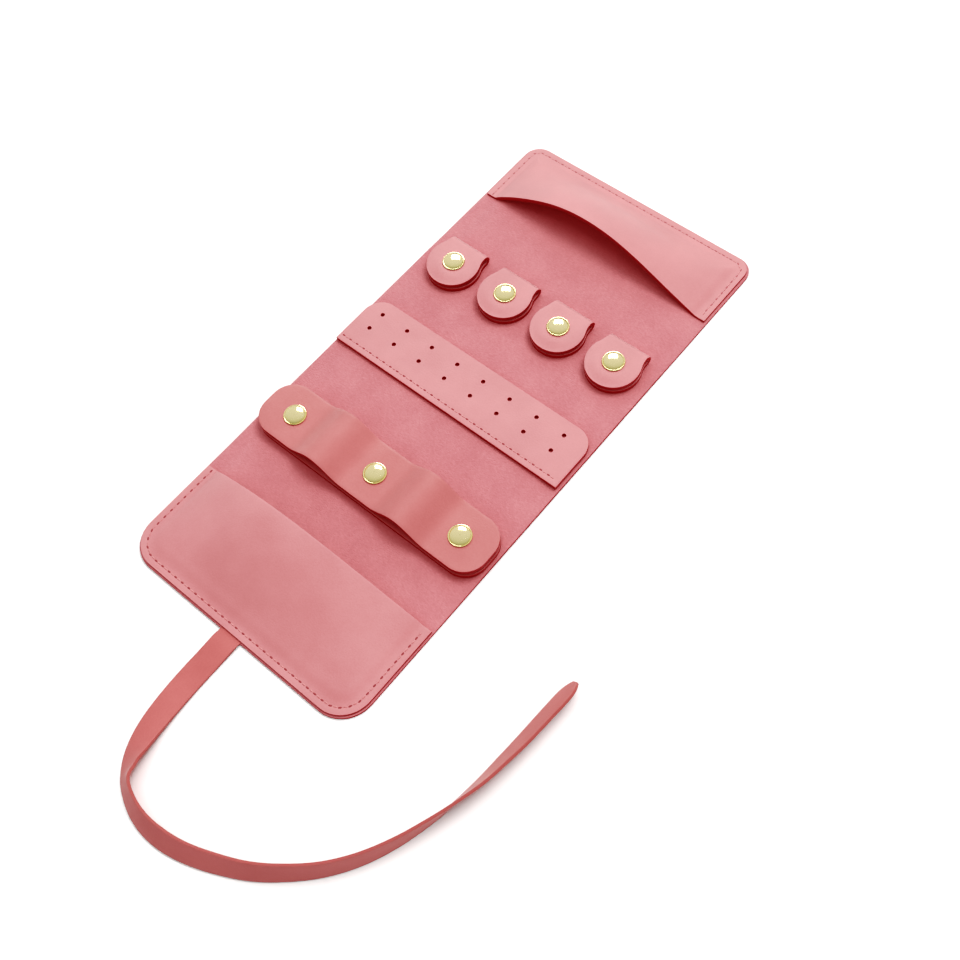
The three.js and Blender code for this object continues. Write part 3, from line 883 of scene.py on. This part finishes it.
class ROLL_OT_ring_bar(bpy.types.Operator):
    """Sews on the ring bar's base and arches the ring strap over it"""

    bl_idname = "roll.make_ring_bar"
    bl_label = "Ring bar"

    def execute(self, context):
        sizes = context.scene.roll_sizes
        low, high = span("ring_bar_base")
        half, middle, tall = high.x, (low.y + high.y) / 2, (high.y - low.y) / 2
        corner, arch = sizes.bar_corner / MM, sizes.bar_arch / MM
        inset = sizes.stitch_inset / MM - 0.5

        def base_place(u, v):
            x = eased(u, corner, 2 * half, 0.16) - half
            share = min(u, 1 - u) / 0.16
            if share < 1:
                x = math.copysign(half - corner * (1 - math.cos(math.pi / 2 * share)), x)
            reach = half - abs(x)
            side = tall - corner_cut(reach, corner)
            y = eased(v, min(4.0, 0.6 * side), 2 * side, 0.3) - side
            from_edge = from_rim(tall - abs(y), reach, corner)
            return (x, middle + y, low.z - groove(from_edge - inset, 0.05))

        # The ring bar and its strap take a darker tone than the other sewn pieces.
        darker_bar_leather = smooth_leather("buffed_pink_ring_bar_leather", ("bar", "bar_shade"))
        base = leather_panel("ring_bar_base_leather", 100, 26, base_place, darker_bar_leather, sizes.leather)
        stand_in(base, "ring_bar_base")

        leaf_low = span("ring_strap_middle")[0].z
        # The strap lies flat this far round each snap.
        flat = 6.0
        arch_from, arch_to = flat, centre_of("ring_snap_right_cap")[0] - flat

        def strap_place(u, v, side):
            share = (1 - u) if side > 0 else u
            reach = along_from_corner(share, corner, half, 0.25)
            x = half - reach
            tilt = (x - arch_from) / (arch_to - arch_from)
            lift = arch * math.sin(math.pi * tilt) ** 2 if 0 < tilt < 1 else 0.0
            tall_here = tall - corner_cut(reach, corner)
            y = tall_here * (2 * v - 1)
            return (side * x, middle + y, leaf_low + lift)

        for side, name in ((-1, "left"), (1, "right")):
            piece = leather_panel(
                f"ring_strap_{name}_leather", 60, 20, lambda u, v: strap_place(u, v, side),
                darker_bar_leather, sizes.leather, is_cut=lambda p: abs(p.x) > 0.02,
            )
            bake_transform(piece)
            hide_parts("ring_strap_middle", f"ring_strap_{name}")
        return {"FINISHED"}


class ROLL_OT_earring_strip(bpy.types.Operator):
    """Sews on the earring strip and punches its pairs of holes"""

    bl_idname = "roll.make_earring_strip"
    bl_label = "Earring strip"

    def execute(self, context):
        sizes = context.scene.roll_sizes
        low, high = span("earring_hem")[0], span("earring_flap")[1]
        hem_high = span("earring_hem")[1].y + 0.15
        corner = sizes.strip_corner / MM
        stitch_y = low.y + sizes.stitch_inset / MM - 0.2

        def place(u, v):
            reach = along_from_corner(1 - v, corner, high.y - low.y, 0.3)
            off = corner_cut(reach, corner)
            left, right = low.x + off, high.x - off
            y = high.y - reach
            return (left + (right - left) * u, y, low.z - groove(y - stitch_y, 0.05))

        piece = leather_panel("earring_strip_leather", 96, 36, place, smooth_leather(), sizes.leather)
        # Eight pairs of holes, a little left of the middle: from pair to pair, and from row to row.
        middle, pairs_apart, rows_apart = (low.x + high.x) / 2 - 1.4, 11.1, 6.7
        places = [
            (middle + (pair - 3.5) * pairs_apart, hem_high + 4.5 + row * rows_apart)
            for pair in range(8) for row in range(2)
        ]
        punch(piece, [(x, y, sizes.ear_hole / MM, low.z - 1, high.z + 2) for x, y in places])
        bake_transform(piece)
        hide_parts("earring_hem", "earring_flap")
        return {"FINISHED"}


def chain_tab(k):
    """Folds one chain tab: its two flat halves ride, and the loop between them stays where it is."""
    sizes = bpy.context.scene.roll_sizes
    thick = sizes.leather / MM
    low, high = span(f"chain_tab_{k}_base")[0], span(f"chain_tab_{k}_leaf")[1]
    middle, radius = (low.x + high.x) / 2, (high.x - low.x) / 2
    bend = (high.z - low.z - thick) / 2
    centre = Vector((0, high.y - bend - thick / 2, (low.z + high.z) / 2))
    straight = centre.y - low.y
    # The loop takes in the last of both flat halves, and the round end's first row has some width.
    flat, tip = straight - 0.4, 0.04
    whole = 2 * straight + math.pi * bend
    neck, fold, sag = sizes.tab_neck / MM / 2, sizes.tab_fold / MM / 2, sizes.tab_sag / MM
    past = 0.4 * radius
    round_end = low.y + radius + past

    def reach(y, side):
        """Half the width: round to past the snap, then drawn in, more on the left than on the right."""
        if y < round_end:
            return math.sqrt(max(0.0, radius ** 2 - (low.y + radius - y) ** 2))
        start = math.sqrt(radius ** 2 - past ** 2)
        run = high.y - round_end
        end, flare = (fold, 0.3 * run) if side > 0 else (neck - 0.6, -0.2 * run)
        t = (y - round_end) / run
        inward = -past / start * run
        curve = (2 * t - 3) * t * t * (start - end) + start
        return curve + (t - 1) ** 2 * t * inward + (t - 1) * t * t * flare

    def place(u, v, part):
        if part == "base":
            s = tip + along_from_corner(v, radius, flat - tip, 0.5)
        elif part == "fold":
            s = flat + (whole - 2 * flat) * v
        else:
            s = whole - tip - along_from_corner(1 - v, radius, flat - tip, 0.5)
        if s < straight:
            y, z = low.y + s, centre.z - bend
        elif s > straight + math.pi * bend:
            y, z = low.y + whole - s, centre.z + bend
            from_snap = math.hypot(reach(y, u - 0.5) * (2 * u - 1), y - low.y - radius)
            z -= sag * smoothstep(from_snap, 4.5, radius) * smoothstep(centre.y - y, 3.0, 17.0)
        else:
            turn = (s - straight) / bend
            y, z = centre.y + bend * math.sin(turn), centre.z - bend * math.cos(turn)
        return (middle + reach(y, u - 0.5) * (2 * u - 1), y, z)

    for part, rows in (("base", 36), ("fold", 24), ("leaf", 36)):
        piece = leather_panel(
            f"chain_tab_{k}_{part}_leather", 18, rows, lambda u, v: place(u, v, part),
            smooth_leather(), sizes.leather, offset=0.0,
            is_cut=lambda p: abs(p.y - low.y - flat) > 0.02,
        )
        if part == "fold":
            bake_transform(piece)
        else:
            stand_in(piece, f"chain_tab_{k}_{part}")


class ROLL_OT_chain_tabs(bpy.types.Operator):
    """Folds the four chain tabs over themselves"""

    bl_idname = "roll.make_chain_tabs"
    bl_label = "Chain tabs"

    def execute(self, context):
        for k in (1, 2, 3, 4):
            chain_tab(k)
        return {"FINISHED"}


def turned(name, wall, above, below, metal, sides=36):
    """A turned piece: a wall of radius, low and high, then rings of radius and height on from its ends."""
    radius, low, high = wall
    deselect()
    bpy.ops.mesh.primitive_cylinder_add(
        vertices=sides, radius=radius * MM, depth=(high - low) * MM, location=(0, 0, (low + high) / 2 * MM)
    )
    bpy.ops.object.transform_apply(location=True, rotation=True, scale=True)
    piece = bpy.context.object
    rename(piece, name)
    for rings, end, up in ((above, high, 1), (below, low, -1)):
        take(piece)
        unmark(piece.data)
        for face in piece.data.polygons:
            face.select = len(face.vertices) == sides and up * face.normal.z > 0.9
        bpy.ops.object.mode_set(mode="EDIT")
        bpy.ops.mesh.select_mode(type="FACE")
        r, z = radius, end
        for wider, higher in rings:
            bpy.ops.mesh.extrude_region_move(TRANSFORM_OT_translate={"value": (0, 0, (higher - z) * MM)})
            bpy.ops.transform.resize(value=(wider / r, wider / r, 1), center_override=(0, 0, higher * MM))
            r, z = wider, higher
        bpy.ops.object.mode_set(mode="OBJECT")
    piece.data.materials.append(metal)
    apply(piece, "BEVEL", width=0.05 * MM, segments=2, limit_method="ANGLE", angle_limit=math.radians(50))
    smooth(piece)
    return piece


class ROLL_OT_snaps(bpy.types.Operator):
    """Sets the seven snap fasteners: a domed cap, a socket and a stud each"""

    bl_idname = "roll.make_snaps"
    bl_label = "Snaps"

    def execute(self, context):
        cap_low, cap_high = span("ring_snap_middle_cap")
        socket_low, socket_high = span("ring_snap_middle_socket")
        stud_low, stud_high = span("ring_snap_middle_stud")
        seat, top, rim = cap_low.z + 1.4, cap_high.z, (cap_high.x - cap_low.x) / 2
        arc = [math.pi / 2 * k / 12 for k in range(13)]
        dome = [(rim - 0.42 - 3.4 * (1 - math.cos(t)), top - 0.85 + 0.85 * math.sin(t)) for t in arc]
        cap = turned(
            "snap_cap", (1.0, cap_low.z, seat),
            [(rim - 0.2, seat), (rim - 0.04, seat + 0.1), (rim, seat + 0.24), (rim - 0.08, seat + 0.38),
             (rim - 0.22, seat + 0.43), (rim - 0.34, seat + 0.4), *dome],
            [], polished_brass(), 48,
        )
        bore = (socket_high.x - socket_low.x) / 2 - 0.7
        socket = turned(
            "snap_socket", (bore + 0.7, socket_low.z, socket_high.z), [(0.3, socket_high.z)],
            [(bore, socket_low.z), (bore, socket_high.z - 0.3)], plated_steel(),
        )
        masters = {"cap": cap, "socket": socket}
        flange, shoulder = (stud_high.x - stud_low.x) / 2, stud_high.z - 0.8
        for kind, low in (("ring", stud_low.z), ("chain", span("chain_snap_1_stud")[0].z)):
            masters[f"{kind}_stud"] = turned(
                f"{kind}_snap_stud", (flange, low, low + 0.3),
                [(1.2, low + 0.3), (1.2, shoulder), (2.7, shoulder), (2.7, shoulder + 0.3),
                 (1.05, shoulder + 0.3), (1.5, stud_high.z - 0.3), (1.5, stud_high.z - 0.15),
                 (1.3, stud_high.z), (0.3, stud_high.z)],
                [(flange - 0.3, low - 0.05), (0.5, low - 0.08)], plated_steel(),
            )
        for kind, places in (("ring", ("left", "middle", "right")), ("chain", (1, 2, 3, 4))):
            for place in places:
                for part in ("cap", "socket", "stud"):
                    node_name = f"{kind}_snap_{place}_{part}"
                    master = masters[f"{kind}_stud" if part == "stud" else part]
                    mesh = master.data.copy()
                    at = Vector((*centre_of(node_name), 0)) * MM
                    mesh.transform(Matrix.Translation(at))
                    piece = bpy.data.objects.new(f"{node_name}_metal", mesh)
                    mesh.name = piece.name
                    context.scene.collection.objects.link(piece)
                    stand_in(piece, node_name)
        for master in masters.values():
            bpy.data.objects.remove(master)
        return {"FINISHED"}


def bead(segments, rings, shaped, made_of):
    """A ball drawn into a shape that is given in millimetres."""
    deselect()
    bpy.ops.mesh.primitive_uv_sphere_add(segments=segments, ring_count=rings, radius=1)
    piece = bpy.context.object
    for vertex in piece.data.vertices:
        vertex.co = Vector(shaped(*vertex.co)) * MM
    piece.data.materials.append(made_of)
    bpy.ops.object.shade_smooth()
    return piece


class ROLL_OT_stitching(bpy.types.Operator):
    """Sews the seams, stitch by stitch, on the inside and on the outside of the roll"""

    bl_idname = "roll.make_stitching"
    bl_label = "Stitching"

    def execute(self, context):
        sizes = context.scene.roll_sizes
        pitch, thread = sizes.stitch_pitch / MM, sizes.thread / MM
        reach = 0.37 * pitch

        def stitch(x, y, z):
            """Lies along x, its ends drawn down into the needle holes."""
            return (reach * z, thread / 2 * y, thread / 2 * x * 0.9 - 0.3 * abs(z) ** 3)

        # A leather of one tone, for the painted shade in the needle holes.
        def painted_hole_shade(name, tone):
            return smooth_leather(name, (tone, tone), 0.2)

        thread_bead = bead(6, 5, stitch, sewing_thread())
        hole_shade_leather = painted_hole_shade("pink_leather_painted_hole_shade", "painted_hole_shade")
        faint_hole_shade_leather = painted_hole_shade("pink_leather_faint_painted_hole_shade", "faint_painted_hole_shade")
        # A needle hole is a shallow dent, longer along the seam, coloured dark as painted shade for the hole.
        painted_shade_dent = bead(8, 4, lambda x, y, z: (0.62 * x, 0.3 * y, 0.09 * z), hole_shade_leather)
        rim = (1 - RIM_PARED) * sizes.leather / MM - RIM_SINK
        seams = {
            "lower_pocket": span("lower_pocket")[0].z + rim,
            "upper_pocket": span("upper_pocket")[0].z + rim,
            "ring_bar_base": span("ring_bar_base")[1].z,
            "earring_hem": span("earring_hem")[1].z,
        }
        # The stitches lie sunk in each face, and the dents, dark with painted shade, show just above it.
        for name, top in seams.items():
            holes = seam_holes(name)
            for side, height, up in (("inside", top - 0.08, 1), ("outside", 0.07, -1)):
                copies = []
                for a, b in zip(holes, holes[1:]):
                    ahead = (b - a).normalized()
                    beside = Vector((0, 0, up)).cross(ahead)
                    turn = Matrix((ahead, beside, Vector((0, 0, up)))).transposed().to_4x4()
                    for shape, place, lift in ((thread_bead, (a + b) / 2, 0.0), (painted_shade_dent, a, 0.02 * up)):
                        at = Vector((place.x, place.y, height + lift)) * MM
                        copy = bpy.data.objects.new("stitch", shape.data.copy())
                        copy.data.transform(Matrix.Translation(at) @ turn)
                        context.scene.collection.objects.link(copy)
                        copies.append(copy)
                piece = joined(copies)
                rename(piece, f"{name}_stitches_{side}")
                # The upper pocket's needle holes get a fainter painted shade.
                if name == "upper_pocket":
                    piece.material_slots[1].material = faint_hole_shade_leather
                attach(piece, body_of(name))
        for shape in (thread_bead, painted_shade_dent):
            bpy.data.objects.remove(shape)
        return {"FINISHED"}


class VIEW3D_PT_jewelry_roll(bpy.types.Panel):
    """Lists the pieces of the roll"""

    bl_idname = "VIEW3D_PT_jewelry_roll"
    bl_label = "Jewelry roll"
    bl_space_type = "VIEW_3D"
    bl_region_type = "UI"
    bl_category = "Jewelry roll"

    def draw(self, context):
        for step in STEPS:
            self.layout.operator(step.bl_idname)
        for group in GROUPS:
            box = self.layout.box()
            settings = getattr(context.scene, group)
            for key in settings.__annotations__:
                box.prop(settings, key)


GROUPS = {
    "roll_sizes": RollSizes, "lower_pocket": LowerPocketShape, "upper_pocket": UpperPocketShape,
    "roll_colours": RollColours,
}
STEPS = [
    ROLL_OT_stage, ROLL_OT_tie_strap, ROLL_OT_sheet, ROLL_OT_pockets, ROLL_OT_ring_bar,
    ROLL_OT_earring_strip, ROLL_OT_chain_tabs, ROLL_OT_snaps, ROLL_OT_stitching,
]
CLASSES = [*GROUPS.values(), *STEPS, VIEW3D_PT_jewelry_roll]


def register():
    for made in CLASSES:
        bpy.utils.register_class(made)
    for name, group in GROUPS.items():
        setattr(bpy.types.Scene, name, bpy.props.PointerProperty(type=group))


def unregister():
    for name in GROUPS:
        delattr(bpy.types.Scene, name)
    for made in reversed(CLASSES):
        bpy.utils.unregister_class(made)


def main():
    register()
    bpy.ops.roll.make_stage()
    bpy.ops.roll.make_tie_strap()
    bpy.ops.roll.make_sheet()
    bpy.ops.roll.make_pockets()
    bpy.ops.roll.make_ring_bar()
    bpy.ops.roll.make_earring_strip()
    bpy.ops.roll.make_chain_tabs()
    bpy.ops.roll.make_snaps()
    bpy.ops.roll.make_stitching()


if __name__ == "__main__":
    main()
